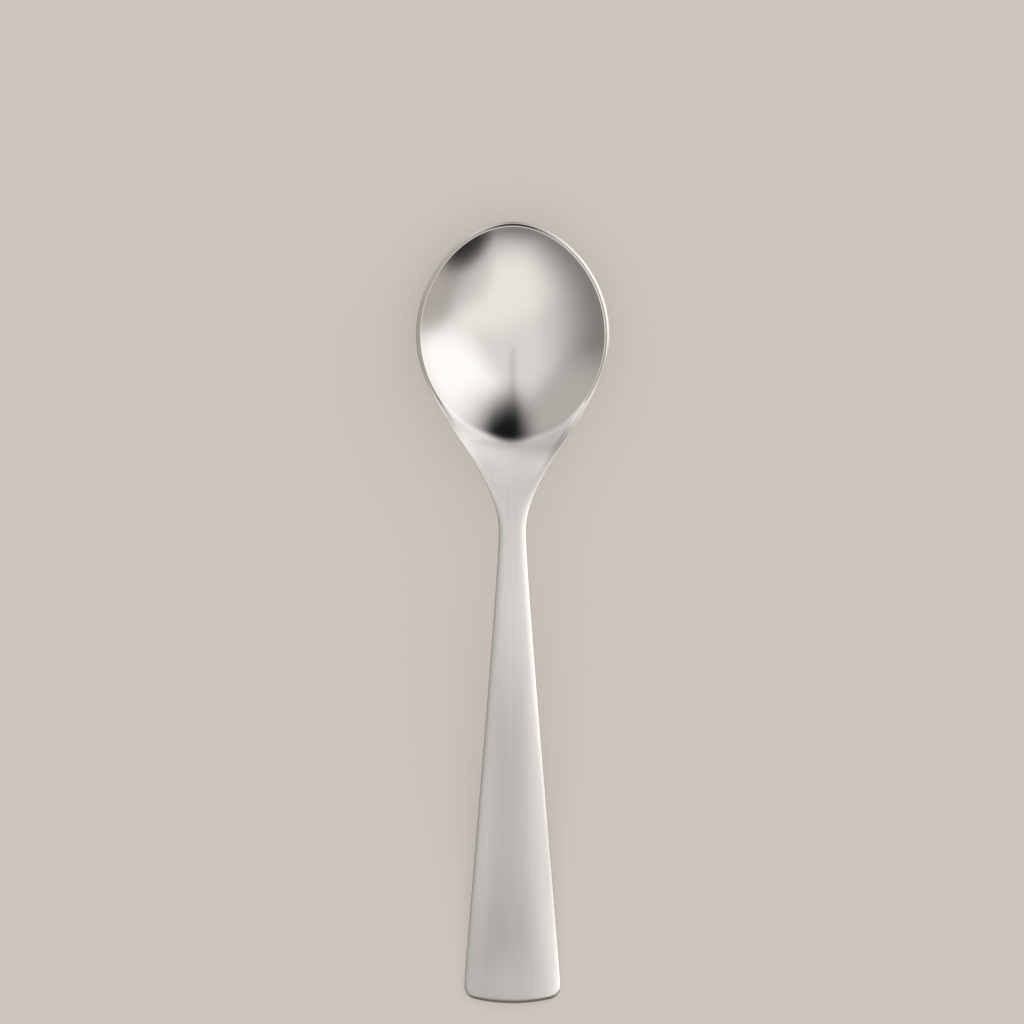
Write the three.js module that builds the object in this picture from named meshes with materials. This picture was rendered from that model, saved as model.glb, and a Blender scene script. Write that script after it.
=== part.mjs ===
// A dinner spoon, forged and stamped from one blank of stainless steel.
// Millimetres, +Z up. It lies on the table with its bowl open upwards, its tip towards +Y and its handle
// towards -Y. The origin is on the table, in the middle of the spoon's footprint.
// A station is a distance along the spoon, counted from the tip of the bowl.

import * as THREE from "three";

const OVERALL_LENGTH = 190;

// The bowl from above
const BOWL_WIDTH = 46.9;
const WIDEST_STATION = 27.4;
const TIP_ROUNDNESS = 11.2; // the tip's curve leaves square to the axis, and this long handle rounds it
const TIP_FLANK = 15.4; // the same curve's handle along the side of the bowl
const RIM_WIDTH = 1.15; // lip between the hollow and the outline
const HOLLOW_LENGTH = 51.55; // from the lip at the tip to the heel's crease
const HEEL_ROUNDNESS = 11.3;
const HEEL_FLANK = 14.6;

// The bowl from the side
const BOWL_DEPTH = 9.2; // below the tip of the rim
const BOWL_WALL = 1.4; // at the bottom of the bowl
const LIP_HEIGHT = 1.25; // thickness of the rim at its edge
const HEEL_DISH = 2.6; // the shoulder is dished by this much at the heel
const HEEL_SWEEP = 15.4; // how far the underside runs level before it climbs to the neck
const RIM_SWEEP = 34; // how far the rim runs level from the tip before it climbs to the neck

// The shoulder and the neck
const SHOULDER_LENGTH = 22.3; // from the heel's crease to the narrowest station
const SHOULDER_FULLNESS = 18.4;
const NECK_SWEEP = 16;
const NECK_WIDTH = 6.7;
const NECK_RISE = 4.8; // the neck's edge above the tip of the rim
const NECK_SLOPE = 0.064; // climb of the neck towards the handle
const NECK_CROWN = 0.6;
const NECK_EDGE = 2.6;
const NECK_BELLY = 0.5;
const NECK_UNDER_SWEEP = 29;
const NECK_RIM_SWEEP = 22;

// The handle
const END_WIDTH = 23.5;
const END_ARC_RADIUS = 42;
const END_CORNER_RADIUS = 3.2;
const FLARE_START = 12; // how fast the sides leave the neck
const FLARE_FINISH = 4; // how late they turn parallel at the end
const HANDLE_CROWN = 1.3;
const END_EDGE = 1.4;
const REST_LENGTH = 6; // flat underside at the end, on which the handle rests
const ARCH_REACH = 40; // how far the arch carries on at the neck's slope
const REST_SWEEP = 24; // how gently the arch comes down to the flat

// The crease between the hollow and the lip, which is rubbed broad and round at the heel
const LIP_CREASE = 0.14; // half of its width
const HEEL_CREASE = 1.2;
const CREASE_START = 12.6; // how far past the widest station it starts to broaden

// The upper edge. The lip has a narrow ridge beside the hollow and a bevel outside it, the neck a broad
// soft roll and the handle a narrower one. A roll leans more and more and ends in a small round corner.
const BEVEL_WIDTH = 0.9;
const BEVEL_DROP = 0.85;
const BEVEL_RUN = 8.6; // how far past the widest station the bevel keeps its form
const BEVEL_FADE = 24; // how soon after that the roll has taken its place
const NECK_ROLL = 2;
const ROLL_GROWTH = 31; // how far past the bevel the roll takes to grow to its full width
const ROLL_ROOM = 0.8; // the roll takes no more than this share of the way to the hollow
const HANDLE_ROLL = 1.2;
const END_ROLL = 1.4;
const ROLL_TAPER = 65; // how far past the neck the roll narrows
const NECK_LEAN = 0.15; // slope of the roll at its outer side, beside the slope of the face
const HANDLE_LEAN = 0.2;
const END_LEAN = 0.8;
const CORNER_RADIUS = 0.2;

// The edge underneath
const LIP_UNDER_RADIUS = 0.28;
const HANDLE_UNDER_RADIUS = 0.7;

// Fineness of the surface
const TIP_STEPS = 18;
const SHOULDER_STEPS = 16;
const NECK_STEPS = 5; // across half of the neck and half of the handle
const HOLLOW_RINGS = 11;
const CREASE_STEPS = 3;
const SHOULDER_RINGS = 5;
const HANDLE_ROWS = 30;
const ROLL_STEPS = 3;
const CORNER_STEPS = 2;
const UNDER_STEPS = 3;
const HEEL_CROWDING = 2.2; // the bowl's spokes crowd towards the middle of the heel by this power
const ROW_CROWDING = 1.3; // the handle's rows crowd towards its round end by this power
const END_BLEND = 14; // the last rows bend into the round end over this length
const HALVINGS = 40; // how closely a station is found on a curve
const HOLLOW_MARKS = 100; // how closely the way to the hollow is measured

const BOWL_BULGE = 0.2; // share of the bowl's depth that follows the fourth power, which steepens its walls
const DISH_POWER = 2; // the dish of the shoulder is a parabola
const CROWN_POWER = 3; // the crown of the handle is flatter in the middle and falls off to its sides
const ROLL_POWER = 2.6; // a roll starts level with the face and falls off by this power

// The bevel's line from the ridge to the upright side, as shares of its width and its drop: a small step
// beside the ridge, a straight slope and a round corner. It has as many points as a roll and its corner.
const BEVEL_LINE = [
  { out: 0.22, down: 0.3 },
  { out: 0.51, down: 0.49 },
  { out: 0.8, down: 0.68 },
  { out: 0.94, down: 0.8 },
  { out: 1, down: 1 },
];

// Stations and sizes that follow
const bowlHalf = BOWL_WIDTH / 2;
const neckHalf = NECK_WIDTH / 2;
const endHalf = END_WIDTH / 2;
const heelStation = RIM_WIDTH + HOLLOW_LENGTH;
const neckStation = heelStation + SHOULDER_LENGTH;
const restStation = OVERALL_LENGTH - REST_LENGTH;
const rimHeight = BOWL_DEPTH + BOWL_WALL;
const neckEdgeHeight = rimHeight + NECK_RISE;
const neckUnderside = neckEdgeHeight - NECK_EDGE - NECK_BELLY;

const point = (across, along) => new THREE.Vector2(across, along);
const curve = (...points) => new THREE.CubicBezierCurve(...points);

// Finds the value of a curve at a station. The station, the curve's second number, grows along the curve.
function valueAt(drawn, station) {
  let low = 0;
  let high = 1;
  for (let halving = 0; halving < HALVINGS; halving += 1) {
    const middle = (low + high) / 2;
    if (drawn.getPoint(middle).y < station) low = middle;
    else high = middle;
  }
  return drawn.getPoint(low).x;
}

// A smooth change from one value to another between two stations
function change(station, from, start, to, end) {
  return THREE.MathUtils.lerp(from, to, THREE.MathUtils.smoothstep(station, start, end));
}

// Outline of the right half from above: tip, shoulder, flare and the round corner of the end
const cornerAcross = endHalf - END_CORNER_RADIUS;
const endArcStation = OVERALL_LENGTH - END_ARC_RADIUS;
const endArcInside = END_ARC_RADIUS - END_CORNER_RADIUS;
const cornerStation = endArcStation + Math.sqrt(endArcInside ** 2 - cornerAcross ** 2);
const tipOutline = curve(
  point(0, 0),
  point(TIP_ROUNDNESS, 0),
  point(bowlHalf, WIDEST_STATION - TIP_FLANK),
  point(bowlHalf, WIDEST_STATION),
);
const shoulderOutline = curve(
  point(bowlHalf, WIDEST_STATION),
  point(bowlHalf, WIDEST_STATION + SHOULDER_FULLNESS),
  point(neckHalf, neckStation - NECK_SWEEP),
  point(neckHalf, neckStation),
);
const flareOutline = curve(
  point(neckHalf, neckStation),
  point(neckHalf, neckStation + FLARE_START),
  point(endHalf, cornerStation - FLARE_FINISH),
  point(endHalf, cornerStation),
);

// Half width between the two long sides, which carry on straight past the round corners of the end
function halfWidth(station) {
  if (station < WIDEST_STATION) return valueAt(tipOutline, station);
  if (station < neckStation) return valueAt(shoulderOutline, station);
  return valueAt(flareOutline, Math.min(station, cornerStation));
}

// Half width with the upper half of the round corner
function cornerHalfWidth(station) {
  const past = Math.max(0, station - cornerStation);
  return halfWidth(station) - END_CORNER_RADIUS + Math.sqrt(END_CORNER_RADIUS ** 2 - past ** 2);
}

// Station of the end's edge, at a distance from the axis
function endStation(across) {
  const arcEndsAcross = (cornerAcross * END_ARC_RADIUS) / endArcInside;
  if (across < arcEndsAcross) return endArcStation + Math.sqrt(END_ARC_RADIUS ** 2 - across ** 2);
  return cornerStation + Math.sqrt(END_CORNER_RADIUS ** 2 - (across - cornerAcross) ** 2);
}

// The inner edge of the lip, and the heel's crease that closes it
const hollowHalf = bowlHalf - RIM_WIDTH;
const hollowTip = curve(
  point(0, RIM_WIDTH),
  point((TIP_ROUNDNESS * hollowHalf) / bowlHalf, RIM_WIDTH),
  point(hollowHalf, WIDEST_STATION - (TIP_FLANK * (WIDEST_STATION - RIM_WIDTH)) / WIDEST_STATION),
  point(hollowHalf, WIDEST_STATION),
);
const hollowHeel = curve(
  point(hollowHalf, WIDEST_STATION),
  point(hollowHalf, WIDEST_STATION + HEEL_FLANK),
  point(HEEL_ROUNDNESS, heelStation),
  point(0, heelStation),
);

// Side view: the underside along the axis, and the upper edge of the rim, the neck and the handle
const climbUnderside = curve(
  point(0, WIDEST_STATION),
  point(0, WIDEST_STATION + HEEL_SWEEP),
  point(neckUnderside - NECK_SLOPE * NECK_UNDER_SWEEP, neckStation - NECK_UNDER_SWEEP),
  point(neckUnderside, neckStation),
);
const archUnderside = curve(
  point(neckUnderside, neckStation),
  point(neckUnderside + NECK_SLOPE * ARCH_REACH, neckStation + ARCH_REACH),
  point(0, restStation - REST_SWEEP),
  point(0, restStation),
);
const rimEdge = curve(
  point(rimHeight, 0),
  point(rimHeight, RIM_SWEEP),
  point(neckEdgeHeight - NECK_SLOPE * NECK_RIM_SWEEP, neckStation - NECK_RIM_SWEEP),
  point(neckEdgeHeight, neckStation),
);

// Rise of a bowl from its bottom, 0, to its edge, 1
function bowlRise(share) {
  return (1 - BOWL_BULGE) * share ** 2 + BOWL_BULGE * share ** 4;
}

function undersideHeight(station) {
  if (station < WIDEST_STATION) return (rimHeight - LIP_HEIGHT) * bowlRise(1 - station / WIDEST_STATION);
  if (station < neckStation) return valueAt(climbUnderside, station);
  return valueAt(archUnderside, Math.min(station, restStation));
}

function edgeThickness(station) {
  if (station < neckStation) return change(station, LIP_HEIGHT, WIDEST_STATION, NECK_EDGE, neckStation);
  return change(station, NECK_EDGE, neckStation, END_EDGE, restStation);
}

function upperEdgeHeight(station) {
  if (station < neckStation) return valueAt(rimEdge, station);
  const belly = change(station, NECK_BELLY, neckStation, 0, restStation);
  return undersideHeight(station) + belly + edgeThickness(station);
}

// The crown of the upper face: level along the rim, dished at the heel, and rounded on the neck and the
// handle. The shoulder climbs out of the dish steeply at first.
function crown(station) {
  if (station < heelStation) return change(station, 0, WIDEST_STATION, -HEEL_DISH, heelStation);
  if (station < neckStation) {
    const left = (neckStation - station) / SHOULDER_LENGTH;
    return NECK_CROWN - (NECK_CROWN + HEEL_DISH) * left ** 2;
  }
  return change(station, NECK_CROWN, neckStation, HANDLE_CROWN, restStation);
}

function shareAcross(across, station) {
  const half = halfWidth(station);
  return half > 0 ? Math.min(1, Math.abs(across) / half) : 0;
}

// Height of the lip, the shoulder and the handle's upper face
function faceHeight(across, station) {
  const power = change(station, DISH_POWER, heelStation, CROWN_POWER, neckStation);
  return upperEdgeHeight(station) + crown(station) * (1 - shareAcross(across, station) ** power);
}

// Height of the whole underside: a bowl that runs out into the neck's and the handle's almost flat back
function backHeight(across, station) {
  const edge = upperEdgeHeight(station) - edgeThickness(station);
  const drop = edge - undersideHeight(station);
  return edge - drop * (1 - bowlRise(shareAcross(across, station)));
}

// A straight chord from the lip at the tip to the heel, from which the hollow is sunk
const tipLipHeight = faceHeight(0, RIM_WIDTH);
const chordSlope = (faceHeight(0, heelStation) - tipLipHeight) / HOLLOW_LENGTH;
const chordHeight = (station) => tipLipHeight + chordSlope * (station - RIM_WIDTH);
const hollowDepth = chordHeight(WIDEST_STATION) - BOWL_WALL;

// Height of the hollow at a share of the way from its bottom to a point of its edge
function hollowHeight(station, share, edge) {
  const liftAtEdge = faceHeight(edge.x, edge.y) - chordHeight(edge.y);
  return chordHeight(station) - hollowDepth * (1 - bowlRise(share)) + liftAtEdge * share ** 2;
}

// A measure of the upper edge, from the lip past the neck and along the handle to its end
const bevelEnd = WIDEST_STATION + BEVEL_RUN;
function alongEdge(station, lip, neck, handle, end) {
  if (station < neckStation) return change(station, lip, bevelEnd, neck, bevelEnd + ROLL_GROWTH);
  const side = change(station, neck, neckStation, handle, neckStation + ROLL_TAPER);
  return side + change(station, 0, restStation, end - handle, OVERALL_LENGTH);
}

function underRadius(station) {
  return change(station, LIP_UNDER_RADIUS, bevelEnd, HANDLE_UNDER_RADIUS, neckStation);
}

function creaseWidth(station) {
  return change(station, LIP_CREASE, WIDEST_STATION + CREASE_START, HEEL_CREASE, heelStation);
}

// Right half of the outline as points, from the tip to the middle of the handle's end
const steps = (count) => Array.from({ length: count }, (unused, index) => (index + 1) / count);
const acrossShares = [1, ...steps(NECK_STEPS).map((step) => Math.cos((Math.PI / 2) * step))];
const bowlOutline = [0, ...steps(TIP_STEPS)].map((step) => tipOutline.getPoint(step));
bowlOutline.push(...steps(SHOULDER_STEPS).map((step) => shoulderOutline.getPoint(step)));

const cornerMiddle = point(
  cornerAcross + END_CORNER_RADIUS * Math.SQRT1_2,
  cornerStation + END_CORNER_RADIUS * Math.SQRT1_2,
);
const endBow = OVERALL_LENGTH - cornerMiddle.y;
const handleRows = steps(HANDLE_ROWS).map((step) => {
  const axis = OVERALL_LENGTH - (OVERALL_LENGTH - neckStation) * (1 - step) ** ROW_CROWDING;
  const bend = Math.max(0, 1 - (OVERALL_LENGTH - axis) / END_BLEND) ** 2;
  return { bend, side: axis - endBow * bend };
});
const handleOutline = handleRows.map((row) => point(cornerHalfWidth(row.side), row.side));
const endOutline = acrossShares.slice(1).map((share) => {
  const across = share * cornerMiddle.x;
  return point(across, endStation(across));
});

// The whole outline, clockwise from above, and the way out of the spoon at each of its points
const rightOutline = [...bowlOutline, ...handleOutline, ...endOutline];
rightOutline.at(-1).x = 0;
const mirrored = (from) => point(-from.x, from.y);
const loop = (right, mirror) => [...right, ...right.slice(1, -1).reverse().map(mirror)];
const outline = loop(rightOutline, mirrored);
const outwards = outline.map((here, index) => {
  const back = here.clone().sub(outline.at(index - 1));
  const ahead = outline[(index + 1) % outline.length].clone().sub(here);
  const heading = point(0, 0).addScaledVector(ahead, back.lengthSq()).addScaledVector(back, ahead.lengthSq());
  return point(heading.y, -heading.x).normalize();
});
const movedIn = (widths) =>
  outline.map((here, index) => here.clone().addScaledVector(outwards[index], -widths[index]));

// Width of the rounding at each point of the outline, above and underneath
const hollowLine = [...hollowTip.getPoints(HOLLOW_MARKS), ...hollowHeel.getPoints(HOLLOW_MARKS)];
const rollWidths = outline.map((here) => {
  const right = point(Math.abs(here.x), here.y);
  const room = Math.min(...hollowLine.map((inner) => inner.distanceTo(right)));
  const full = alongEdge(here.y, BEVEL_WIDTH, NECK_ROLL, HANDLE_ROLL, END_ROLL);
  return Math.min(full, ROLL_ROOM * room);
});
const underWidths = outline.map((here) => underRadius(here.y));

// The right half of the hollow's edge, where the spokes of the bowl start
const neckSpoke = bowlOutline.length - 1;
const heelSteps = SHOULDER_STEPS + NECK_STEPS;
const hollowCentre = point(0, WIDEST_STATION);
const hollowEdge = [0, ...steps(TIP_STEPS)].map((step) => hollowTip.getPoint(step));
hollowEdge.push(...steps(heelSteps).map((step) => hollowHeel.getPoint(1 - (1 - step) ** HEEL_CROWDING)));

// End of a spoke: on the moved-in outline and, at the neck, on a line across it
function spokeEnd(moved, spoke) {
  if (spoke <= neckSpoke) return moved[spoke];
  return point(acrossShares[spoke - neckSpoke] * moved[neckSpoke].x, neckStation);
}

function onSpoke(moved, spoke, share) {
  return hollowEdge[spoke].clone().lerp(spokeEnd(moved, spoke), share);
}

// Vertices, and rings of them from the right half of a ring
const positions = [];
const triangles = [];
function vertex({ x, y, z }) {
  positions.push(x, OVERALL_LENGTH / 2 - y, z);
  return positions.length / 3 - 1;
}
const raised = (at, height) => new THREE.Vector3(at.x, at.y, height);
const raisedTo = (face) => (at) => raised(at, face(at.x, at.y));
const ringOf = (right) => loop(right, ({ x, y, z }) => new THREE.Vector3(-x, y, z)).map(vertex);

// The rows of the handle's net. The last rows bend to follow its round end.
function handleRow(moved, number) {
  const first = bowlOutline.length;
  const last = first + HANDLE_ROWS - 1;
  const edge = moved[first + number];
  const endRow = moved.slice(last, last + 2 * NECK_STEPS + 1);
  return endRow.map((end) => {
    const station = edge.y + handleRows[number].bend * (end.y - endRow[0].y);
    return point((end.x * edge.x) / endRow[0].x, station);
  });
}

// The rings of the shoulder and the rows of the handle, added to the rings of the bowl
function finishSkin(middle, rings, moved, face, shareOf) {
  for (const step of steps(SHOULDER_RINGS)) {
    const ring = hollowEdge.map((unused, spoke) => onSpoke(moved, spoke, shareOf(step, spoke)));
    rings.push(ringOf(ring.map(raisedTo(face))));
  }
  const neckRow = rings.at(-1).slice(neckSpoke, neckSpoke + 2 * NECK_STEPS + 1);
  const rows = handleRows.map((unused, number) => handleRow(moved, number).map(raisedTo(face)).map(vertex));
  return { middle, rings, rows: [neckRow, ...rows] };
}

// The upper skin: the hollow, the rounded crease, the lip or the shoulder, and the face of the handle
function upperSkin() {
  const moved = movedIn(rollWidths);
  const middle = vertex(raised(hollowCentre, BOWL_WALL));
  const creases = hollowEdge.map((inner, spoke) => {
    const width = creaseWidth(inner.y);
    const shoulder = inner.distanceTo(spokeEnd(moved, spoke));
    return { hollow: 1 - width / inner.distanceTo(hollowCentre), face: Math.min(width / shoulder, 1 / 2) };
  });
  const inHollow = (inner, share) => {
    const at = hollowCentre.clone().lerp(inner, share);
    return raised(at, hollowHeight(at.y, share, inner));
  };
  const rings = steps(HOLLOW_RINGS).map((step) =>
    ringOf(hollowEdge.map((inner, spoke) => inHollow(inner, step * creases[spoke].hollow))),
  );
  for (const step of steps(CREASE_STEPS)) {
    const ring = hollowEdge.map((inner, spoke) => {
      const from = inHollow(inner, creases[spoke].hollow);
      const to = raisedTo(faceHeight)(onSpoke(moved, spoke, creases[spoke].face));
      return new THREE.QuadraticBezierCurve3(from, raisedTo(faceHeight)(inner), to).getPoint(step);
    });
    rings.push(ringOf(ring));
  }
  const shareOf = (step, spoke) => THREE.MathUtils.lerp(creases[spoke].face, 1, step);
  return finishSkin(middle, rings, moved, faceHeight, shareOf);
}

// The skin underneath
function underSkin() {
  const middle = vertex(raisedTo(backHeight)(hollowCentre));
  const rings = steps(HOLLOW_RINGS).map((step) =>
    ringOf(hollowEdge.map((inner) => raisedTo(backHeight)(hollowCentre.clone().lerp(inner, step)))),
  );
  return finishSkin(middle, rings, movedIn(underWidths), backHeight, (step) => step);
}

// A face with four corners. Its diagonal on the left half mirrors the one on the right half.
function quad(a, b, c, d, turned) {
  const onLeft = positions[3 * a] + positions[3 * c] < 0;
  const [first, second, third, last] = onLeft ? [b, c, d, a] : [a, b, c, d];
  if (turned) triangles.push(first, third, second, first, last, third);
  else triangles.push(first, second, third, first, third, last);
}

function coverSkin({ middle, rings, rows }, turned) {
  const next = (index, ring) => ring[(index + 1) % ring.length];
  rings[0].forEach((here, index) => {
    const after = next(index, rings[0]);
    triangles.push(middle, turned ? here : after, turned ? after : here);
  });
  for (let ring = 1; ring < rings.length; ring += 1) {
    const inside = rings[ring - 1];
    const outside = rings[ring];
    inside.forEach((here, index) => {
      quad(here, next(index, inside), next(index, outside), outside[index], turned);
    });
  }
  for (let row = 1; row < rows.length; row += 1) {
    const above = rows[row - 1];
    const below = rows[row];
    for (let column = 1; column < above.length; column += 1) {
      quad(above[column - 1], above[column], below[column], below[column - 1], turned);
    }
  }
}

// Vertices of a skin along the outline, in the outline's order
function skinEdge({ rings, rows }) {
  const rim = rings.at(-1);
  const handle = rows.slice(1);
  const right = handle.slice(0, -1).map((row) => row[0]);
  const left = handle.slice(0, -1).map((row) => row.at(-1));
  return [
    ...rim.slice(0, neckSpoke + 1),
    ...right,
    ...handle.at(-1),
    ...left.reverse(),
    ...rim.slice(rim.length - neckSpoke),
  ];
}

// A point of the roll: its way out from the skin and its way down from the face
function rollPoint(line, width, lean) {
  const firstAngle = Math.atan(lean);
  const rolled = width - CORNER_RADIUS * (1 - Math.sin(firstAngle));
  const share = Math.min(line / ROLL_STEPS, 1);
  const turned = Math.max(0, line - ROLL_STEPS) / CORNER_STEPS;
  const angle = THREE.MathUtils.lerp(firstAngle, Math.PI / 2, turned);
  const rollDown = ((lean * rolled) / ROLL_POWER) * share ** ROLL_POWER;
  return {
    out: rolled * share + CORNER_RADIUS * (Math.sin(angle) - Math.sin(firstAngle)),
    down: rollDown + CORNER_RADIUS * (Math.cos(firstAngle) - Math.cos(angle)),
  };
}

// The upper edge, as lines of vertices from the skin to the upright side: the bevel, fading into the roll
function upperEdge() {
  const start = movedIn(rollWidths);
  return BEVEL_LINE.map((bevel, index) =>
    outline.map((corner, place) => {
      const width = rollWidths[place];
      const lean = alongEdge(corner.y, NECK_LEAN, NECK_LEAN, HANDLE_LEAN, END_LEAN);
      const roll = rollPoint(index + 1, width, lean);
      const bevelShare = change(corner.y, 1, bevelEnd, 0, bevelEnd + BEVEL_FADE);
      const out = THREE.MathUtils.lerp(roll.out, bevel.out * width, bevelShare);
      const down = THREE.MathUtils.lerp(roll.down, bevel.down * BEVEL_DROP, bevelShare);
      const at = start[place].clone().addScaledVector(outwards[place], out);
      return vertex(raised(at, faceHeight(at.x, at.y) - down));
    }),
  );
}

// The edge underneath, from the upright side to the skin, rounded evenly
function underEdge() {
  const start = movedIn(underWidths);
  return [0, ...steps(UNDER_STEPS).slice(0, -1)].map((step) =>
    outline.map((corner, place) => {
      const lowest = raisedTo(backHeight)(corner);
      const side = raised(corner, lowest.z + underRadius(corner.y));
      const rounding = new THREE.QuadraticBezierCurve3(side, lowest, raisedTo(backHeight)(start[place]));
      return vertex(rounding.getPoint(step));
    }),
  );
}

function spoonGeometry() {
  const upper = upperSkin();
  const under = underSkin();
  coverSkin(upper, false);
  coverSkin(under, true);
  const bands = [skinEdge(upper), ...upperEdge(), ...underEdge(), skinEdge(under)];
  for (let band = 1; band < bands.length; band += 1) {
    outline.forEach((unused, index) => {
      const after = (index + 1) % outline.length;
      quad(bands[band - 1][index], bands[band - 1][after], bands[band][after], bands[band][index], false);
    });
  }
  const geometry = new THREE.BufferGeometry();
  geometry.setAttribute("position", new THREE.Float32BufferAttribute(positions, 3));
  geometry.setIndex(triangles);
  geometry.computeVertexNormals();
  return geometry;
}

const satinSteel = new THREE.MeshStandardMaterial({ color: 0xc4bfb9, roughness: 0.35, metalness: 1 });

const spoon = new THREE.Mesh(spoonGeometry(), satinSteel);
spoon.name = "spoon";

const dinnerSpoon = new THREE.Group();
dinnerSpoon.add(spoon);

export default dinnerSpoon;
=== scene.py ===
# %% [markdown]
# # A dinner spoon in satin and polished steel
# The spoon lies on a table with its bowl open upwards, and the camera looks straight down on it. Its tip
# points along +Y and its handle along -Y, so a "station" below is a distance from the tip, in
# millimetres. Blender works in metres, and one factor turns the one into the other at the very end.
#
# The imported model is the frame: it gives the real length, width and height. It could be shown as it is,
# but its facets are made for physics. So a finer skin is drawn here from the same few lines, and stands
# for it.

import math

import bpy
import numpy as np
from mathutils import Matrix, Vector


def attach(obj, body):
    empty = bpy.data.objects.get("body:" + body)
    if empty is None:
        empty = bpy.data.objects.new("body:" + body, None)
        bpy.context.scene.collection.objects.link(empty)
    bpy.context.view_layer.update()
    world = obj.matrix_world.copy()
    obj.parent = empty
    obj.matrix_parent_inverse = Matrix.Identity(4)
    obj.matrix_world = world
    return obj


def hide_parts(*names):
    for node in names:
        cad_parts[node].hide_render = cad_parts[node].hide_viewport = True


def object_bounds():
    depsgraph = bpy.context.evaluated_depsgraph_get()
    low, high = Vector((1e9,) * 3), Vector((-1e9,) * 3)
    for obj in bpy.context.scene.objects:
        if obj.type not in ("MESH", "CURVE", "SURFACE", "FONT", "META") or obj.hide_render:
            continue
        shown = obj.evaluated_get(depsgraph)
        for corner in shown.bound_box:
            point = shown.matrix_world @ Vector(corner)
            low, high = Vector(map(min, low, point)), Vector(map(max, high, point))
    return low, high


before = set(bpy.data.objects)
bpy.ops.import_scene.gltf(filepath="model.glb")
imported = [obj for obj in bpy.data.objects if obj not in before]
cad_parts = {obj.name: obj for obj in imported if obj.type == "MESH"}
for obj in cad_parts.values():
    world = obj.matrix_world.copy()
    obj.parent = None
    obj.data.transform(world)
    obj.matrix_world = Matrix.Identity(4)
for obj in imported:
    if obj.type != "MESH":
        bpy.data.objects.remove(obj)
cad_low, cad_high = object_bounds()

MM = 0.001
overall_length = (cad_high.y - cad_low.y) / MM
bowl_half = (cad_high.x - cad_low.x) / 2 / MM
print(f"frame: {overall_length:.1f} mm long, {2 * bowl_half:.1f} mm wide, {cad_high.z / MM:.2f} mm high")

# %% [markdown]
# ## The outline from above
# A die cuts the blank, so the outline is the first thing a maker draws. It could be traced point
# by point, but a few cubic curves with well placed handles give a cleaner line: one round the tip, one
# down the shoulder to the neck, one along the flaring handle, and two arcs for the softly squared end.
# The hollow of the bowl has an outline of its own, a narrow lip inside the first one, closed by the round
# heel.

# %% Curves with two handles
FINE = np.linspace(0, 1, 2001)


def along(curve, steps):
    """Points of a cubic curve, given as its start, two handles and its end."""
    start, leaving, arriving, end = np.array(curve, float)
    t = np.asarray(steps, float)[:, None]
    return (1 - t) ** 3 * start + 3 * t * (1 - t) ** 2 * leaving + 3 * t**2 * (1 - t) * arriving + t**3 * end


def value_at(curve, station):
    """Reads a curve like a chart: its first number where its second number is this station."""
    points = along(curve, FINE)
    return np.interp(station, points[:, 1], points[:, 0])


def change(station, before, start, after, end):
    """A smooth change from one value to another between two stations."""
    share = np.clip((station - start) / (end - start), 0, 1)
    return before + (after - before) * share**2 * (3 - 2 * share)


# %% Draw the outline of the spoon and of its hollow
WIDEST = 27.4
LIP = 1.15
HEEL = 52.7
NECK = 75.0
NECK_HALF = 3.35
END_HALF = 11.75
END_ARC = 42.0
END_CORNER = 3.2
FLARE_EASE = 4.0

corner_across = END_HALF - END_CORNER
end_arc_middle = overall_length - END_ARC
corner_station = end_arc_middle + math.sqrt((END_ARC - END_CORNER) ** 2 - corner_across**2)
hollow_half = bowl_half - LIP

# Each line is its start, its two handles and its end, as half width and station.
tip_line = [(0, 0), (11.2, 0), (bowl_half, 12.0), (bowl_half, WIDEST)]
shoulder_line = [(bowl_half, WIDEST), (bowl_half, 45.8), (NECK_HALF, 59.0), (NECK_HALF, NECK)]
flare_end = (END_HALF, corner_station)
flare_line = [(NECK_HALF, NECK), (NECK_HALF, 87.0), (END_HALF, corner_station - FLARE_EASE), flare_end]
hollow_tip_line = [(0, LIP), (10.65, LIP), (hollow_half, 12.65), (hollow_half, WIDEST)]
hollow_heel_line = [(hollow_half, WIDEST), (hollow_half, 42.0), (11.3, HEEL), (0, HEEL)]
print(f"outline: neck at {NECK:.0f} mm, round corners of the end at {corner_station:.1f} mm")


# %% Read widths off the outline
def half_width(station):
    """Half the width between the long sides, which run on straight past the corners of the end."""
    bowl = np.where(station < WIDEST, value_at(tip_line, station), value_at(shoulder_line, station))
    return np.where(station < NECK, bowl, value_at(flare_line, station))


def corner_half_width(station):
    """The same, with the first half of the round corner taken off."""
    past = np.clip(station - corner_station, 0, END_CORNER)
    return half_width(station) - END_CORNER + np.sqrt(END_CORNER**2 - past**2)


def end_station(across):
    """Where the handle ends, at a distance from its axis: a wide arc, then the corner."""
    arc_reach = corner_across * END_ARC / (END_ARC - END_CORNER)
    arc = end_arc_middle + np.sqrt(END_ARC**2 - np.minimum(across, arc_reach) ** 2)
    corner = corner_station + np.sqrt(END_CORNER**2 - np.clip(across - corner_across, 0, END_CORNER) ** 2)
    return np.where(across < arc_reach, arc, corner)


print(f"width: {2 * half_width(HEEL):.1f} mm at the heel, {2 * half_width(NECK):.1f} mm at the neck")


# %% [markdown]
# ## The spoon from the side
# Seen from the side, a spoon is a long S: the bowl hangs low, the neck climbs, and the handle arches back
# down to touch the table. Two lines hold that S, one for the underside along the middle and one for the
# upper edge. The face between the edges is dished just behind the bowl and crowned on the handle, which
# is what makes a satin handle catch a soft band of light.

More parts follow.
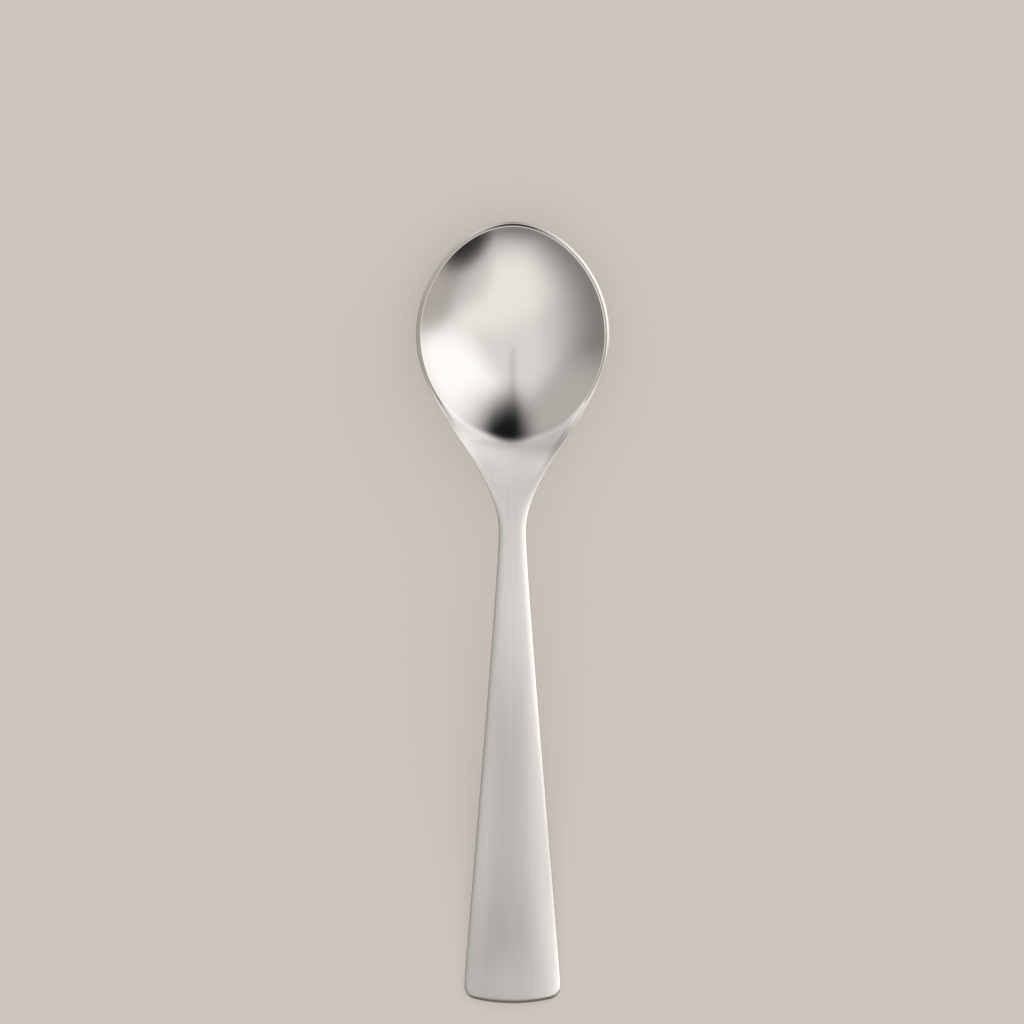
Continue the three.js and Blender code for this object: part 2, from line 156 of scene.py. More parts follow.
# %% Heights along the spoon
RIM_HEIGHT = 10.6
LIP_HEIGHT = 1.25
BOWL_WALL = 1.4
BOWL_BULGE = 0.1
NECK_EDGE = 2.6
END_EDGE = 1.4
NECK_BELLY = 0.5
NECK_EDGE_HEIGHT = 15.4
NECK_UNDERSIDE = NECK_EDGE_HEIGHT - NECK_EDGE - NECK_BELLY
REST_LENGTH = 6.0
REST = overall_length - REST_LENGTH
REST_EASE = 24.0
HEEL_DISH = 2.6
NECK_CROWN = 0.56
HANDLE_CROWN = 1.3
DISH_POWER = 2.0
CROWN_POWER = 3.0

# Each line is its start, its two handles and its end, as height and station.
climb_line = [(0, WIDEST), (0, 42.8), (10.444, 46.0), (NECK_UNDERSIDE, NECK)]
arch_line = [(NECK_UNDERSIDE, NECK), (14.86, 115.0), (0, REST - REST_EASE), (0, REST)]
rim_line = [(RIM_HEIGHT, 0), (RIM_HEIGHT, 34.0), (13.992, 53.0), (NECK_EDGE_HEIGHT, NECK)]


def bowl_rise(share):
    """How a bowl climbs from its bottom, 0, to its edge, 1. The fourth power steepens its walls."""
    return (1 - BOWL_BULGE) * share**2 + BOWL_BULGE * share**4


def underside(station):
    """The lowest line of the back, along the middle of the spoon."""
    tip = (RIM_HEIGHT - LIP_HEIGHT) * bowl_rise(np.clip(1 - station / WIDEST, 0, 1))
    bowl = np.where(station < WIDEST, tip, value_at(climb_line, station))
    return np.where(station < NECK, bowl, value_at(arch_line, station))


def edge_thickness(station):
    """How thick the steel is at its edge, from the thin lip to the stout neck and the slim end."""
    shoulder = change(station, LIP_HEIGHT, WIDEST, NECK_EDGE, NECK)
    return np.where(station < NECK, shoulder, change(station, NECK_EDGE, NECK, END_EDGE, REST))


def upper_edge(station):
    """The height of the upper edge: level round the bowl, then climbing, then following the handle."""
    belly = change(station, NECK_BELLY, NECK, 0, REST)
    handle = underside(station) + belly + edge_thickness(station)
    return np.where(station < NECK, value_at(rim_line, station), handle)


def crown(station):
    """How far the face stands above its edges in the middle. Below 0 it is dished."""
    heel = change(station, 0, WIDEST, -HEEL_DISH, HEEL)
    shoulder_share = np.clip((station - HEEL) / (NECK - HEEL), 0, 1)
    neck = -HEEL_DISH + (HEEL_DISH + NECK_CROWN) * (1 - (1 - shoulder_share) ** 2)
    handle = change(station, NECK_CROWN, NECK, HANDLE_CROWN, REST)
    return np.where(station < HEEL, heel, np.where(station < NECK, neck, handle))


# %% Heights of the three surfaces: face, back and hollow
ALMOST_NONE = 1e-6


def share_across(across, station):
    """0 on the axis of the spoon and 1 on its edge."""
    return np.clip(np.abs(across) / np.maximum(half_width(station), ALMOST_NONE), 0, 1)


def face_height(across, station):
    """The lip, the shoulder and the upper face of the handle, which falls off more and more to its sides."""
    power = change(station, DISH_POWER, HEEL, CROWN_POWER, NECK)
    return upper_edge(station) + crown(station) * (1 - share_across(across, station) ** power)


def back_height(across, station):
    """The underside: a bowl that runs out into the almost flat back of the handle."""
    edge = upper_edge(station) - edge_thickness(station)
    drop = edge - underside(station)
    return edge - drop * (1 - bowl_rise(share_across(across, station)))


chord_start = face_height(0.0, LIP)
chord_slope = (face_height(0.0, HEEL) - chord_start) / (HEEL - LIP)


def chord(station):
    """A straight line from the lip at the tip to the heel, from which the hollow is sunk."""
    return chord_start + chord_slope * (station - LIP)


hollow_depth = chord(WIDEST) - BOWL_WALL


def hollow_height(station, share, edge):
    """The hollow, at a share of the way from its bottom to a point of its edge."""
    lift = face_height(edge[:, 0], edge[:, 1]) - chord(edge[:, 1])
    return chord(station) - hollow_depth * (1 - bowl_rise(share)) + lift * share**2


print(f"hollow: {hollow_depth:.1f} mm deep, neck face {float(face_height(0.0, NECK)):.1f} mm above the table")

# %% [markdown]
# ## Edges that a hand can hold
# Every edge of real cutlery is eased on a polishing wheel. The handle has a broad soft roll, the lip a
# narrow bevel with a thin bright land inside it, and the crease at the heel is rubbed so round that the
# brushing runs over it. A bevel modifier has one width, so these roundings are drawn as curves whose
# width changes along the spoon: they are the lines that catch the light, and they are shape, not bump.

# %% How wide each edge is rounded
LIP_ROLL = 1.03
LIP_DROP = 1.08
TIP_DROP = 0.6
NECK_ROLL = 2.0
HANDLE_ROLL = 1.2
END_ROLL = 1.4
SHOULDER_LEAN = 0.4
NECK_LEAN = 0.15
HANDLE_LEAN = 0.2
END_LEAN = 0.8
ROLL_POWER = 2.6
CORNER = 0.24
LIP_CREASE = 0.06
HEEL_CREASE = 1.2
LIP_END = 36.0
ROLL_FULL = NECK - 8
HANDLE_EDGE = 140.0
CREASE_START = 40.0


def along_edge(station, lip, neck, handle, end):
    """A measure of the edge that changes from the lip to the neck, along the handle, and round its end."""
    bowl = change(station, lip, LIP_END, neck, ROLL_FULL)
    side = change(station, neck, NECK, handle, HANDLE_EDGE)
    return np.where(station < NECK, bowl, side + change(station, 0, REST, end - handle, overall_length))


def crease_width(station):
    """Half the width of the rounding between the hollow and the face, broad only at the heel."""
    return change(station, LIP_CREASE, CREASE_START, HEEL_CREASE, HEEL)


print(f"edges: rounded {LIP_ROLL} mm at the lip, {NECK_ROLL} mm at the neck, {END_ROLL} mm at the end")


# %% [markdown]
# ## A net of points
# The skin is a net that follows the form. On the bowl it is rings and spokes, like a spider's web, so the
# heel and the lip lie along it. On the neck and the handle it is rows and columns, and the last rows bend
# to follow the round end. Upper face and back use the same net, so the wall between them is closed by
# strips along the outline. A sculpted or voxel mesh would do, but a net in the direction of the form
# shades without ripples.

# %% The outline as points, clockwise from the tip
TIP_STEPS = 56
SHOULDER_STEPS = 46
NECK_STEPS = 12
HANDLE_ROWS = 96
ROW_CROWDING = 1.3
END_BLEND = 14.0


def mirrored_loop(right):
    """A closed loop from its right half, whose first and last point are on the axis."""
    left = right[-2:0:-1] * (-1, 1)
    return np.concatenate([right, left])


column_shares = np.cos(np.linspace(0, math.pi / 2, NECK_STEPS + 1))
column_shares[-1] = 0
tip_points = along(tip_line, np.linspace(0, 1, TIP_STEPS + 1))
shoulder_points = along(shoulder_line, np.linspace(0, 1, SHOULDER_STEPS + 1)[1:])

corner_middle = np.array([corner_across, corner_station]) + END_CORNER * math.sqrt(0.5)
end_bow = overall_length - corner_middle[1]
row_steps = np.linspace(0, 1, HANDLE_ROWS + 1)[1:]
row_axis = overall_length - (overall_length - NECK) * (1 - row_steps) ** ROW_CROWDING
row_bend = np.clip(1 - (overall_length - row_axis) / END_BLEND, 0, 1) ** 2
row_side = row_axis - end_bow * row_bend
side_points = np.column_stack([corner_half_width(row_side), row_side])
end_across = column_shares[1:] * corner_middle[0]
end_points = np.column_stack([end_across, end_station(end_across)])

outline = mirrored_loop(np.concatenate([tip_points, shoulder_points, side_points, end_points]))
back = outline - np.roll(outline, 1, axis=0)
ahead = np.roll(outline, -1, axis=0) - outline
heading = ahead * (back**2).sum(axis=1)[:, None] + back * (ahead**2).sum(axis=1)[:, None]
outward = np.column_stack([heading[:, 1], -heading[:, 0]])
outward /= np.linalg.norm(outward, axis=1)[:, None]


def inset(widths):
    """The outline moved in by a width of its own at each point."""
    return outline - outward * widths[:, None]


# %% The width of the rounding at each point of the outline
ROOM_SHARE = 0.9
UNDER_LIP = 0.15
UNDER_HANDLE = 0.7

stations = outline[:, 1]
hollow_line = np.concatenate([along(hollow_tip_line, FINE), along(hollow_heel_line, FINE)])
right_outline = np.abs(outline)
nearest = np.array([hollow_line[np.hypot(*(hollow_line - point).T).argmin()] for point in right_outline])
room = np.linalg.norm(right_outline - nearest, axis=1)
roll_widths = along_edge(stations, LIP_ROLL, NECK_ROLL, HANDLE_ROLL, END_ROLL)
roll_widths = np.minimum(roll_widths, ROOM_SHARE * room)
under_widths = change(stations, UNDER_LIP, LIP_END, UNDER_HANDLE, NECK)
print(f"outline: {len(outline)} points, rounded {roll_widths.min():.2f} to {roll_widths.max():.2f} mm wide")

# %% Spokes of the bowl
neck_spoke = TIP_STEPS + SHOULDER_STEPS
hollow_centre = np.array([0.0, WIDEST])
inner_tip = along(hollow_tip_line, np.linspace(0, 1, TIP_STEPS + 1))
inner_shoulder = nearest[TIP_STEPS + 1 : neck_spoke + 1]
heel_across = column_shares[1:] * inner_shoulder[-1, 0]
heel_curve = along(hollow_heel_line, FINE)[::-1]
inner_heel = np.column_stack([heel_across, np.interp(heel_across, heel_curve[:, 0], heel_curve[:, 1])])
inner_ends = mirrored_loop(np.concatenate([inner_tip, inner_shoulder, inner_heel]))


def outer_ends(widths):
    """Where the spokes end: on the moved-in outline, and at the neck on a line across it."""
    moved = inset(widths)
    across = column_shares[1:] * moved[neck_spoke, 0]
    neck = np.column_stack([across, np.full(NECK_STEPS, NECK)])
    return mirrored_loop(np.concatenate([moved[: neck_spoke + 1], neck]))


def along_spokes(ends, share):
    """Points on all spokes, at a share of the way from the hollow to their ends."""
    return inner_ends + (ends - inner_ends) * np.broadcast_to(share, len(ends))[:, None]


print(f"bowl: {len(inner_ends)} spokes")


# %% Rows of the handle
def handle_rows(widths):
    """The handle's net, row by row from the neck to the end, each from right to left."""
    moved = inset(widths)
    first = len(tip_points) + len(shoulder_points)
    last = first + HANDLE_ROWS - 1
    end_row = moved[last : last + 2 * NECK_STEPS + 1]
    rows = []
    for number in range(HANDLE_ROWS):
        edge_across, edge_station = moved[first + number]
        across = end_row[:, 0] * edge_across / end_row[0, 0]
        station = edge_station + row_bend[number] * (end_row[:, 1] - end_row[0, 1])
        rows.append(np.column_stack([across, station]))
    return rows


print(f"handle: {HANDLE_ROWS} rows of {2 * NECK_STEPS + 1} points")


# %% [markdown]
# ## Joining the net into one skin
# Each line of the net is laid down as vertices, and neighbouring lines are bridged with quads. The hollow
# is laid from its bottom outwards, then the rounded crease, then the shoulder. Every vertex also
# remembers how far it lies from the crease, because that is where the polish of the bowl gives way to the
# satin of the handle.

# %% Vertices and quads
places = []
crease_distances = []
quads = []
finishes = []
SATIN, HOLLOW = 0, 1
FAR = 60.0


def lay(plan, height, crease_distance=FAR):
    """Adds a line of vertices and gives back their numbers."""
    first = len(places)
    across, station = plan[:, 0], plan[:, 1]
    places.extend(zip(across, overall_length / 2 - station, height))
    crease_distances.extend(np.broadcast_to(crease_distance, len(plan)))
    return np.arange(first, len(places))


def bridge(before, after, finish, closed=True, turned=False):
    """Adds the quads between two lines of vertices."""
    strip = np.column_stack([before, np.roll(before, -1), np.roll(after, -1), after])
    if not closed:
        strip = strip[:-1]
    if turned:
        strip = strip[:, ::-1]
    quads.extend(strip.tolist())
    finishes.extend([finish] * len(strip))


def fan(middle, ring, finish, turned=False):
    """Closes the first ring round the bottom of the bowl with triangles."""
    after = np.roll(ring, -1)
    for here, there in zip(ring, after):
        quads.append([middle, here, there] if turned else [middle, there, here])
        finishes.append(finish)


# %% The upper skin: hollow, crease, shoulder and handle
HOLLOW_RINGS = 34
CREASE_STEPS = 6
SHOULDER_RINGS = 18
LIP_POLISH = 9.0
HEEL_POLISH = 50.0
POLISH_FADES = 37.0
MOST_CREASE = 0.5


def arc_weights(t):
    """Shares of the start, the corner and the end of a rounded corner, a part t of the way round it."""
    return (1 - t) ** 2, 2 * t * (1 - t), t**2


crease = crease_width(inner_ends[:, 1])
spoke_length = np.linalg.norm(inner_ends - hollow_centre, axis=1)
hollow_share = 1 - crease / spoke_length
hollow_bottom = hollow_height(WIDEST, 0, inner_ends[:1])
bottom = lay(hollow_centre[None], hollow_bottom, -WIDEST)[0]

# Over the lip the polish reaches far past the crease, and at the heel it ends there.
polish_reach = change(inner_ends[:, 1], LIP_POLISH, POLISH_FADES, 0, HEEL_POLISH)
upper_rings = []
for step in np.linspace(0, 1, HOLLOW_RINGS + 1)[1:]:
    share = step * hollow_share
    plan = hollow_centre + (inner_ends - hollow_centre) * share[:, None]
    height = hollow_height(plan[:, 1], share, inner_ends)
    upper_rings.append(lay(plan, height, (share - 1) * spoke_length - polish_reach))

upper_ends = outer_ends(roll_widths)
shoulder_length = np.linalg.norm(upper_ends - inner_ends, axis=1)
face_share = np.minimum(crease / shoulder_length, MOST_CREASE)
crease_from = plan
crease_from_height = height
crease_to = along_spokes(upper_ends, face_share)
crease_to_height = face_height(crease_to[:, 0], crease_to[:, 1])
corner_height = face_height(inner_ends[:, 0], inner_ends[:, 1])
for t in np.linspace(0, 1, CREASE_STEPS + 1)[1:]:
    weights = arc_weights(t)
    plan = weights[0] * crease_from + weights[1] * inner_ends + weights[2] * crease_to
    height = weights[0] * crease_from_height + weights[1] * corner_height + weights[2] * crease_to_height
    upper_rings.append(lay(plan, height, crease * (2 * t - 1) - polish_reach))

for step in np.linspace(0, 1, SHOULDER_RINGS + 1)[1:]:
    share = face_share + (1 - face_share) * step
    plan = along_spokes(upper_ends, share)
    upper_rings.append(lay(plan, face_height(plan[:, 0], plan[:, 1]), share * shoulder_length - polish_reach))

fan(bottom, upper_rings[0], HOLLOW)
last_polished = HOLLOW_RINGS + CREASE_STEPS // 2
for number, (inside, outside) in enumerate(zip(upper_rings, upper_rings[1:])):
    bridge(inside, outside, HOLLOW if number < last_polished else SATIN)
print(f"hollow and shoulder: {len(upper_rings)} rings")


# %% The handle's face, and the whole back
def neck_row(rings):
    """The vertices across the neck, where the bowl's net ends and the handle's begins."""
    return rings[-1][neck_spoke : neck_spoke + 2 * NECK_STEPS + 1]


upper_rows = [neck_row(upper_rings)]
for plan in handle_rows(roll_widths):
    upper_rows.append(lay(plan, face_height(plan[:, 0], plan[:, 1])))
for above, below in zip(upper_rows, upper_rows[1:]):
    bridge(above, below, SATIN, closed=False)

BACK_RINGS = 30
back_ends = outer_ends(under_widths)
back_bottom = lay(hollow_centre[None], back_height(hollow_centre[:1], hollow_centre[1:]))[0]
back_rings = []
for step in np.linspace(0, 1, BACK_RINGS + 1)[1:]:
    plan = hollow_centre + (inner_ends - hollow_centre) * step
    back_rings.append(lay(plan, back_height(plan[:, 0], plan[:, 1])))
for step in np.linspace(0, 1, SHOULDER_RINGS + 1)[1:]:
    plan = along_spokes(back_ends, step)
    back_rings.append(lay(plan, back_height(plan[:, 0], plan[:, 1])))
fan(back_bottom, back_rings[0], SATIN, turned=True)
for inside, outside in zip(back_rings, back_rings[1:]):
    bridge(inside, outside, SATIN, turned=True)

back_rows = [neck_row(back_rings)]
for plan in handle_rows(under_widths):
    back_rows.append(lay(plan, back_height(plan[:, 0], plan[:, 1])))
for above, below in zip(back_rows, back_rows[1:]):
    bridge(above, below, SATIN, closed=False, turned=True)
print(f"handle: {len(upper_rows)} rows above and {len(back_rows)} below")


# %% [markdown]
# ## Rolling the edges
# Strips along the outline close the wall between face and back. On the handle a strip leans out softly
# and then turns a small round corner. On the lip it is a step and a narrow band, given as three short
# rows: how far along the strip, how far out and how far down. From the lip to the shoulder one form fades
# into the other. A bump could fake this line of light, but only real shape moves it as the spoon is
# turned.

# %% The rounded edges, as strips along the outline
UPPER_ROLL_STEPS = 12
ROLL_SHARE = 0.7
UNDER_ROLL_STEPS = 5
LIP_FADED = 60.0
TIP_FADED = 8.0
LEAN_FROM = 57.0
LIP_STOPS = (0, 0.25, 0.67, 0.83, 1)
LIP_OUT = (0, 0.46, 0.76, 0.93, 1)
LIP_DOWN = (0, 0.68, 0.85, 0.96, 1)


def skin_edge(rings, rows):
    """The vertices of a skin along the outline, in the outline's order."""
    rim = rings[-1]
    sides = np.array([row[[0, -1]] for row in rows[1:-1]])
    return np.concatenate(
        [rim[: neck_spoke + 1], sides[:, 0], rows[-1], sides[::-1, 1], rim[len(rim) - neck_spoke :]]
    )


start_plan = inset(roll_widths)
handle_lean = along_edge(stations, NECK_LEAN, NECK_LEAN, HANDLE_LEAN, END_LEAN)
shoulder_lean = change(stations, SHOULDER_LEAN, LEAN_FROM, NECK_LEAN, NECK)
lean = np.where(stations < NECK, shoulder_lean, handle_lean)
lip_drop = change(stations, TIP_DROP * LIP_DROP, 0, LIP_DROP, TIP_FADED)
first_angle = np.arctan(lean)
rolled = roll_widths - CORNER * (1 - np.sin(first_angle))
lip_share = change(stations, 1, LIP_END, 0, LIP_FADED)
edge_polish = change(stations, -LIP_POLISH, LIP_END, LIP_POLISH, LIP_FADED)

edge_lines = [skin_edge(upper_rings, upper_rows)]
for t in np.linspace(0, 1, UPPER_ROLL_STEPS + 1)[1:]:
    before_corner = min(t / ROLL_SHARE, 1)
    angle = first_angle + (math.pi / 2 - first_angle) * max(t - ROLL_SHARE, 0) / (1 - ROLL_SHARE)
    out = rolled * before_corner + CORNER * (np.sin(angle) - np.sin(first_angle))
    down = lean * rolled / ROLL_POWER * before_corner**ROLL_POWER
    down += CORNER * (np.cos(first_angle) - np.cos(angle))
    out = (1 - lip_share) * out + lip_share * roll_widths * np.interp(t, LIP_STOPS, LIP_OUT)
    down = (1 - lip_share) * down + lip_share * lip_drop * np.interp(t, LIP_STOPS, LIP_DOWN)
    plan = start_plan + outward * out[:, None]
    edge_lines.append(lay(plan, face_height(plan[:, 0], plan[:, 1]) - down, edge_polish))

under_plan = inset(under_widths)
under_start = back_height(under_plan[:, 0], under_plan[:, 1])
under_corner = back_height(outline[:, 0], outline[:, 1])
under_side = under_corner + under_widths
for t in np.linspace(1, 0, UNDER_ROLL_STEPS + 1)[:-1]:
    weights = arc_weights(t)
    plan = weights[0] * under_plan + (weights[1] + weights[2]) * outline
    height = weights[0] * under_start + weights[1] * under_corner + weights[2] * under_side
    edge_lines.append(lay(plan, height))
edge_lines.append(skin_edge(back_rings, back_rows))
for above, below in zip(edge_lines, edge_lines[1:]):
    bridge(above, below, SATIN)
print(f"edges: {len(edge_lines)} lines, thinnest edge {float(edge_thickness(0.0)):.1f} mm")

# %% [markdown]
# ## The mesh, and what it stands for
# The lists become one closed mesh. It carries two things for the materials: the distance from the crease,
# and a flat map of the spoon from above that tells brushed steel its direction. The mesh then rides on
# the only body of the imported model, stands for its only piece, and keeps the name of its steel.

# %% Make the mesh
mesh = bpy.data.meshes.new("spoon_skin")
mesh.from_pydata((np.array(places) * MM).tolist(), [], quads)
mesh.polygons.foreach_set("material_index", finishes)
mesh.polygons.foreach_set("use_smooth", [True] * len(quads))
from_crease = mesh.attributes.new("from_crease", "FLOAT", "POINT")
from_crease.data.foreach_set("value", crease_distances)

plan_map = mesh.uv_layers.new(name="plan")
corner_vertices = np.empty(len(mesh.loops), int)
mesh.loops.foreach_get("vertex_index", corner_vertices)
plan_map.uv.foreach_set("vector", (np.array(places)[corner_vertices, :2] * MM).ravel())
mesh.validate()

spoon_skin = bpy.data.objects.new("spoon_skin", mesh)
bpy.context.scene.collection.objects.link(spoon_skin)
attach(spoon_skin, "root")
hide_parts("spoon")
print(f"skin: {len(mesh.vertices)} vertices, {len(mesh.polygons)} faces")

# %% [markdown]
# ## Brush marks, as a group of nodes
# Satin steel is brushed along its length, and the brush leaves fine parallel marks. A scratch texture
# could be painted, but a noise that is squeezed across the spoon and stretched along it gives marks that
# never repeat. Every finish on this spoon has some of them, so they are one node group, placed with its
# own sizes each time.

# %% Small helpers for nodes
def node(tree, kind, **settings):
    """Adds a node and sets its options."""
    made = tree.nodes.new(kind)
    for name, value in settings.items():
        setattr(made, name, value)
    return made


def plug(tree, value, socket):
    """Links an output to a socket, or sets the socket to a number or a colour."""
    if isinstance(value, bpy.types.NodeSocket):
        tree.links.new(value, socket)
    elif isinstance(value, tuple) and socket.type == "RGBA":
        socket.default_value = (*value, 1)
    else:
        socket.default_value = value


def calculate(tree, operation, first, second=0.0):
    """One sum with two values."""
    made = node(tree, "ShaderNodeMath", operation=operation)
    plug(tree, first, made.inputs[0])
    plug(tree, second, made.inputs[1])
    return made.outputs[0]


def multiply(tree, first, second):
    """Two values multiplied, which is how masks are laid over each other."""
    return calculate(tree, "MULTIPLY", first, second)


def soft_step(tree, value, start, end):
    """0 at start, 1 at end, and a smooth change between them."""
    made = node(tree, "ShaderNodeMapRange", interpolation_type="SMOOTHSTEP")
    plug(tree, value, made.inputs["Value"])
    plug(tree, start, made.inputs["From Min"])
    plug(tree, end, made.inputs["From Max"])
    return made.outputs["Result"]


def blend(tree, below, above, mask, kind="FLOAT"):
    """Mixes two values or two colours by a mask."""
    made = node(tree, "ShaderNodeMix", data_type=kind)
    sockets = [socket for socket in made.inputs if socket.enabled]
    for value, socket in zip((mask, below, above), sockets):
        plug(tree, value, socket)
    return next(socket for socket in made.outputs if socket.enabled)


def new_group(name, inputs, outputs):
    """An empty node group with named sockets for numbers."""
    group = bpy.data.node_groups.new(name, "ShaderNodeTree")
    for label, value in inputs.items():
        socket = group.interface.new_socket(name=label, in_out="INPUT", socket_type="NodeSocketFloat")
        socket.default_value = value
    for label in outputs:
        group.interface.new_socket(name=label, in_out="OUTPUT", socket_type="NodeSocketFloat")
    return group, node(group, "NodeGroupInput").outputs, node(group, "NodeGroupOutput").inputs


# %% The brush marks
MARK_DETAIL = 2.0

brush_marks, given, result = new_group("brush_marks", {"Width": 0.3, "Length": 9.0, "Start": 0.0}, ["Marks"])
place = node(brush_marks, "ShaderNodeSeparateXYZ")
plug(brush_marks, node(brush_marks, "ShaderNodeTexCoord").outputs["Object"], place.inputs[0])
squeezed = node(brush_marks, "ShaderNodeCombineXYZ")
for axis, size in (("X", "Width"), ("Y", "Length")):
    size_in_metres = multiply(brush_marks, given[size], MM)
    in_marks = calculate(brush_marks, "DIVIDE", place.outputs[axis], size_in_metres)
    plug(brush_marks, in_marks, squeezed.inputs[axis])
plug(brush_marks, given["Start"], squeezed.inputs["Z"])
noise = node(brush_marks, "ShaderNodeTexNoise")
noise.inputs["Scale"].default_value = 1
noise.inputs["Detail"].default_value = MARK_DETAIL
plug(brush_marks, squeezed.outputs[0], noise.inputs["Vector"])
plug(brush_marks, noise.outputs["Fac"], result["Marks"])
print(f"group brush_marks: {len(brush_marks.nodes)} nodes")

# %% [markdown]
# ## Where the polish gives way to the satin
# The hollow is polished on a soft wheel, and the wheel runs on over the lip. At the heel it runs out in a
# band of a few millimetres, and the marks of the brush reach into that band. A mask could be painted on
# the mesh. Here each vertex already knows its distance from the crease, so the mask is one smooth step on
# that distance, and the brush marks are added to it to fray its edge.

# %% The polish mask
SATIN_FROM = 1.3
POLISHED_FROM = -1.5
EVEN_MARK = 0.5

polish_fade, given, result = new_group("polish_fade", {"Marks": EVEN_MARK, "Feather": 1.0}, ["Polish"])
distance = node(polish_fade, "ShaderNodeAttribute", attribute_name="from_crease")
above_even = calculate(polish_fade, "SUBTRACT", given["Marks"], EVEN_MARK)
frayed = multiply(polish_fade, above_even, given["Feather"])
edge = calculate(polish_fade, "ADD", distance.outputs["Fac"], frayed)
plug(polish_fade, soft_step(polish_fade, edge, SATIN_FROM, POLISHED_FROM), result["Polish"])
print(f"group polish_fade: polish runs out over {SATIN_FROM - POLISHED_FROM:.1f} mm")

# %% [markdown]
# ## Steel, brushed and polished
# Stainless steel is metal all through, so Metallic is 1 and the base colour is the tint of what it
# reflects, a slightly warm grey. A grey paint under a clear coat would show its own colour beside a
# highlight, and steel does not. Brushing leaves grooves, so there the steel is rougher, darker in the
# marks, and has a shallow relief. Polishing takes most of that away. Anisotropic stretches the highlight,
# in a direction that it takes from the "plan" map of the mesh. One recipe serves both finishes; they
# differ in that stretch.

# %% Steel
SATIN_ROUGHNESS = 0.29
HOLLOW_ROUGHNESS = 0.13
ROUGHNESS_PLAY = 0.1
DARK_SATIN = (0.495, 0.477, 0.456)
LIGHT_SATIN = (0.618, 0.601, 0.577)
POLISHED = (0.615, 0.597, 0.572)
WIDE_MARKS = {"Width": 0.45, "Length": 40.0, "Start": 3.0}
FINE_MARKS = {"Width": 0.16, "Length": 14.0, "Start": 8.0}
FINE_SHARE = 0.5
MARK_DEPTH = 0.02
MARK_RELIEF = 0.5
POLISHED_AWAY = 0.6


def place_group(tree, group, **values):
    """Adds a node group and sets its inputs by name."""
    made = node(tree, "ShaderNodeGroup", node_tree=group)
    for label, value in values.items():
        plug(tree, value, made.inputs[label])
    return made.outputs[0]


def brushed_steel(name, anisotropy):
    """Steel whose brush marks change its colour, its roughness and its surface."""
    material = bpy.data.materials.new(name)
    material.use_nodes = True
    tree = material.node_tree
    shader = tree.nodes["Principled BSDF"]
    shader.inputs["Metallic"].default_value = 1
    shader.inputs["Anisotropic"].default_value = anisotropy
    plan_direction = node(tree, "ShaderNodeTangent", direction_type="UV_MAP", uv_map="plan")
    plug(tree, plan_direction.outputs[0], shader.inputs["Tangent"])
    wide = place_group(tree, brush_marks, **WIDE_MARKS)
    fine = place_group(tree, brush_marks, **FINE_MARKS)
    marks = blend(tree, wide, fine, FINE_SHARE)
    polish = place_group(tree, polish_fade, Marks=marks)

    satin = blend(tree, DARK_SATIN, LIGHT_SATIN, marks, "RGBA")
    plug(tree, blend(tree, satin, POLISHED, polish, "RGBA"), shader.inputs["Base Color"])

    smoothest = SATIN_ROUGHNESS - ROUGHNESS_PLAY / 2
    brushed = calculate(tree, "ADD", multiply(tree, marks, ROUGHNESS_PLAY), smoothest)
    plug(tree, blend(tree, brushed, HOLLOW_ROUGHNESS, polish), shader.inputs["Roughness"])

    relief = node(tree, "ShaderNodeBump")
    relief.inputs["Strength"].default_value = MARK_RELIEF
    relief.inputs["Distance"].default_value = MARK_DEPTH * MM
    left_over = calculate(tree, "SUBTRACT", 1.0, multiply(tree, polish, POLISHED_AWAY))
    plug(tree, multiply(tree, marks, left_over), relief.inputs["Height"])
    plug(tree, relief.outputs[0], shader.inputs["Normal"])
    mesh.materials.append(material)


brushed_steel("satin_steel", anisotropy=0.3)
brushed_steel("polished_hollow", anisotropy=0.1)
print("materials:", [material.name for material in mesh.materials])

# %% [markdown]
# ## The floor
# The spoon lies on pale, warm paper. More light would make the paper pale too, but it would burn out the
# steel. So part of its paleness is a faint glow that only the camera and mirror-like reflections see. The
# rest is its own colour, which waits for light as any paper does, and so keeps the soft shadow under the
# spoon.

# %% Floor
FLOOR_HALF = 12.0
PAPER = (0.238, 0.216, 0.196)
PAPER_GLOW = (0.386, 0.3505, 0.319)
PAPER_ROUGHNESS = 0.9
PAPER_GLOSS = 0.1


def box(left, low, right, high):
    """The four corners of an upright rectangle."""
    return [(left, low), (right, low), (right, high), (left, high)]


def flat_piece(name, corners):
    """A flat sheet for the studio, with a material of its own."""
    sheet = bpy.data.meshes.new(name)
    sheet.from_pydata([(x, y, 0) for x, y in corners], [], [(0, 1, 2, 3)])
    piece = bpy.data.objects.new(name, sheet)
    bpy.context.scene.collection.objects.link(piece)
    material = bpy.data.materials.new(name)
    material.use_nodes = True
    sheet.materials.append(material)
    return piece, material.node_tree


floor, paper = flat_piece("floor", box(-FLOOR_HALF, -FLOOR_HALF, FLOOR_HALF, FLOOR_HALF))
floor_shader = paper.nodes["Principled BSDF"]
seen = node(paper, "ShaderNodeLightPath").outputs
seen_or_mirrored = calculate(paper, "MAXIMUM", seen["Is Camera Ray"], seen["Is Glossy Ray"])
seen_at_all = calculate(paper, "MAXIMUM", seen_or_mirrored, seen["Is Transmission Ray"])
plug(paper, PAPER, floor_shader.inputs["Base Color"])
plug(paper, PAPER_GLOW, floor_shader.inputs["Emission Color"])
plug(paper, seen_at_all, floor_shader.inputs["Emission Strength"])
floor_shader.inputs["Roughness"].default_value = PAPER_ROUGHNESS
floor_shader.inputs["Specular IOR Level"].default_value = PAPER_GLOSS
print(f"{floor.name}: {2 * FLOOR_HALF:.0f} m square")

